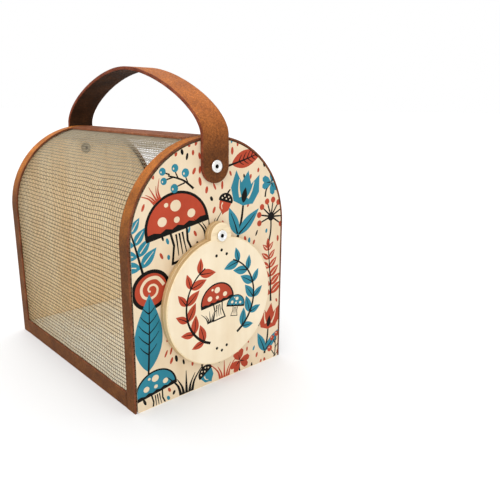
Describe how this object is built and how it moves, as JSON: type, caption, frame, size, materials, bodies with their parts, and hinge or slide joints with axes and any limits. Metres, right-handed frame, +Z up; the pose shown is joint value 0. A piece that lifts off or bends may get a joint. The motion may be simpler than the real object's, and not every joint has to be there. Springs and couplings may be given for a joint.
{
  "type": "bug box",
  "caption": "Arched plywood bug box with wire mesh sides and roof, leather trim, a riveted strap handle and a round swing door.",
  "frame": {"origin": "centre of the footprint, on the surface that the box stands on, midway between the two end panels", "axes": "+Z up, +X to the right seen from the front, the front panel and its round door face -Y"},
  "size_m": [0.12, 0.1803, 0.1996],
  "materials": {
    "front_print": null,
    "back_print": null,
    "plywood": "bare plywood, satin",
    "door_wood": "plywood disc with a printed cream face",
    "door_core": "bare plywood",
    "leather_trim": "brown bonded leather, matt",
    "strap_leather": "tan leather strap, matt, dark inside",
    "mesh_wire": "galvanised woven wire",
    "nickel": "nickel plated",
    "staple_steel": "plain steel wire",
    "fibre_washer": "matt"
  },
  "bodies": {
    "box": {"front_panel": "front_print", "back_panel": "back_print", "floor_board": "plywood", "left_mesh": "mesh_wire", "right_mesh": "mesh_wire", "front_edge_trim": "leather_trim", "back_edge_trim": "leather_trim", "left_base_trim": "leather_trim", "right_base_trim": "leather_trim", "ridge_trim": "leather_trim", "front_handle_rivet": "nickel", "front_handle_washer": "nickel", "back_handle_rivet": "nickel", "back_handle_washer": "nickel", "door_rivet": "nickel", "door_spacer": "fibre_washer", "door_washer": "nickel", "front_mesh_staple_1": "staple_steel", "front_mesh_staple_2": "staple_steel", "front_mesh_staple_3": "staple_steel", "front_mesh_staple_4": "staple_steel", "front_mesh_staple_5": "staple_steel", "front_mesh_staple_6": "staple_steel", "front_mesh_staple_7": "staple_steel", "front_mesh_staple_8": "staple_steel", "back_mesh_staple_1": "staple_steel", "back_mesh_staple_2": "staple_steel", "back_mesh_staple_3": "staple_steel", "back_mesh_staple_4": "staple_steel", "back_mesh_staple_5": "staple_steel", "back_mesh_staple_6": "staple_steel", "back_mesh_staple_7": "staple_steel", "back_mesh_staple_8": "staple_steel", "left_base_staple_1": "staple_steel", "left_base_staple_2": "staple_steel", "left_base_staple_3": "staple_steel", "right_base_staple_1": "staple_steel", "right_base_staple_2": "staple_steel", "right_base_staple_3": "staple_steel"},
    "door": {"door_front_board": "door_wood", "door_back_board": "door_core"},
    "handle": {"handle_strap": "strap_leather"}
  },
  "joints": [
    {"name": "door_swing", "type": "hinge", "parent": "box", "child": "door", "pos_m": [0, -0.087, 0.1], "axis": [0, 1, 0], "range_deg": [-100, 100]},
    {"name": "handle_swing", "type": "hinge", "parent": "box", "child": "handle", "pos_m": [0, 0, 0.141], "axis": [0, 1, 0], "range_deg": [-20, 20]}
  ]
}
